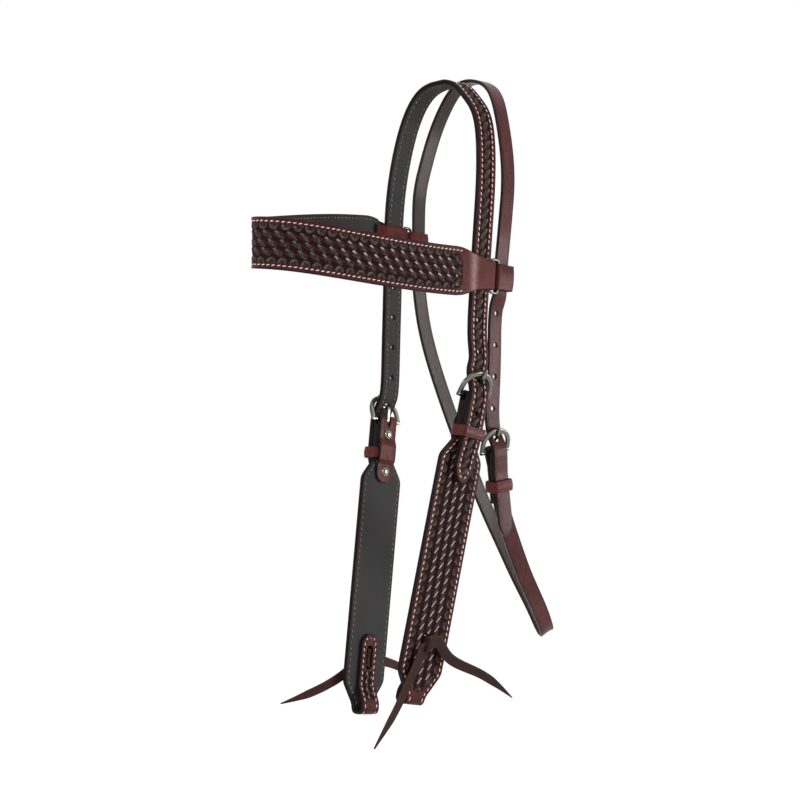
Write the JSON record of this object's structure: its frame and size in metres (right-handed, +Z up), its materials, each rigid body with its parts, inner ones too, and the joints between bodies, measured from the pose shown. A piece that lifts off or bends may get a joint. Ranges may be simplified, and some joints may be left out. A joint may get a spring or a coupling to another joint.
{
  "type": "western headstall",
  "caption": "Tooled leather headstall with crown strap, browband, wide cheeks with tie laces, and a buckled throatlatch on loops.",
  "frame": {"origin": "underside of the crown strap at the poll, in the middle of the strap's width", "axes": "+Z up, the horse faces -Y, and its near (left) side is +X"},
  "size_m": [0.1278, 0.314, 0.5241],
  "materials": {
    "tooled_leather": "dark oiled leather with basketweave stamping",
    "smooth_leather": "smooth burgundy brown, soft gloss",
    "lining_leather": "smooth charcoal lining, matt",
    "lace_leather": "oiled lace leather with paler cut edges",
    "antique_nickel": "antique nickel with bright worn rims",
    "bright_nickel": "polished",
    "dark_steel": "dark drawn wire"
  },
  "bodies": {
    "headstall": {"crown_outer": "tooled_leather", "crown_lining": "lining_leather", "near_cheek_outer": "tooled_leather", "near_cheek_lining": "lining_leather", "near_chape": "smooth_leather", "near_upper_rivet": "bright_nickel", "near_lower_rivet": "bright_nickel", "near_lace": "lace_leather", "far_cheek_outer": "tooled_leather", "far_cheek_lining": "lining_leather", "far_chape": "smooth_leather", "far_upper_rivet": "bright_nickel", "far_lower_rivet": "bright_nickel", "far_lace": "lace_leather"},
    "browband": {"browband_outer": "tooled_leather", "browband_lining": "lining_leather", "near_browband_ring": "dark_steel", "far_browband_ring": "dark_steel", "near_throat_loop": "smooth_leather", "far_throat_loop": "smooth_leather"},
    "throat_strap": {"throatlatch": "smooth_leather"},
    "near_buckle_frame": {"near_cheek_buckle": "antique_nickel"},
    "near_buckle_tongue": {"near_cheek_tongue": "antique_nickel"},
    "far_buckle_frame": {"far_cheek_buckle": "antique_nickel"},
    "far_buckle_tongue": {"far_cheek_tongue": "antique_nickel"},
    "throat_buckle_frame": {"throat_buckle": "antique_nickel"},
    "throat_buckle_tongue": {"throat_tongue": "antique_nickel"},
    "near_keeper": {"near_cheek_keeper": "smooth_leather"},
    "far_keeper": {"far_cheek_keeper": "smooth_leather"},
    "throat_keeper_loop": {"throat_keeper": "smooth_leather"}
  },
  "joints": [
    {"name": "browband_slide", "type": "slide", "parent": "headstall", "child": "browband", "axis": [0, 0.0798, 0.9968], "range_m": [-0.004, 0.004]},
    {"name": "throatlatch_lift", "type": "slide", "parent": "headstall", "child": "throat_strap", "axis": [0, 0.0599, 0.9982], "range_m": [0, 0.004]},
    {"name": "near_buckle_hinge", "type": "hinge", "parent": "headstall", "child": "near_buckle_frame", "pos_m": [0.0511, -0.025, -0.2565], "axis": [0, 0.9756, -0.2195], "range_deg": [0, 3]},
    {"name": "near_tongue_hinge", "type": "hinge", "parent": "near_buckle_frame", "child": "near_buckle_tongue", "pos_m": [0.0511, -0.025, -0.2565], "axis": [0, 0.9756, -0.2195], "range_deg": [0, 5]},
    {"name": "far_buckle_hinge", "type": "hinge", "parent": "headstall", "child": "far_buckle_frame", "pos_m": [-0.0511, -0.025, -0.2757], "axis": [0.0689, -0.9854, 0.1558], "range_deg": [0, 3]},
    {"name": "far_tongue_hinge", "type": "hinge", "parent": "far_buckle_frame", "child": "far_buckle_tongue", "pos_m": [-0.0511, -0.025, -0.2757], "axis": [0.0689, -0.9854, 0.1558], "range_deg": [0, 5]},
    {"name": "throat_buckle_hinge", "type": "hinge", "parent": "throat_strap", "child": "throat_buckle_frame", "pos_m": [0.0485, 0.0029, -0.2991], "axis": [0.0986, 0.9862, 0.1331], "range_deg": [0, 3]},
    {"name": "throat_tongue_hinge", "type": "hinge", "parent": "throat_buckle_frame", "child": "throat_buckle_tongue", "pos_m": [0.0485, 0.0029, -0.2991], "axis": [0.0986, 0.9862, 0.1331], "range_deg": [0, 5]},
    {"name": "near_keeper_slide", "type": "slide", "parent": "headstall", "child": "near_keeper", "axis": [0.0439, 0.2193, 0.9747], "range_m": [0, 0.002]},
    {"name": "far_keeper_slide", "type": "slide", "parent": "headstall", "child": "far_keeper", "axis": [-0.0444, 0.153, 0.9872], "range_m": [0, 0.002]},
    {"name": "throat_keeper_slide", "type": "slide", "parent": "throat_strap", "child": "throat_keeper_loop", "axis": [0, -0.1338, 0.991], "range_m": [-0.008, 0.004]}
  ]
}
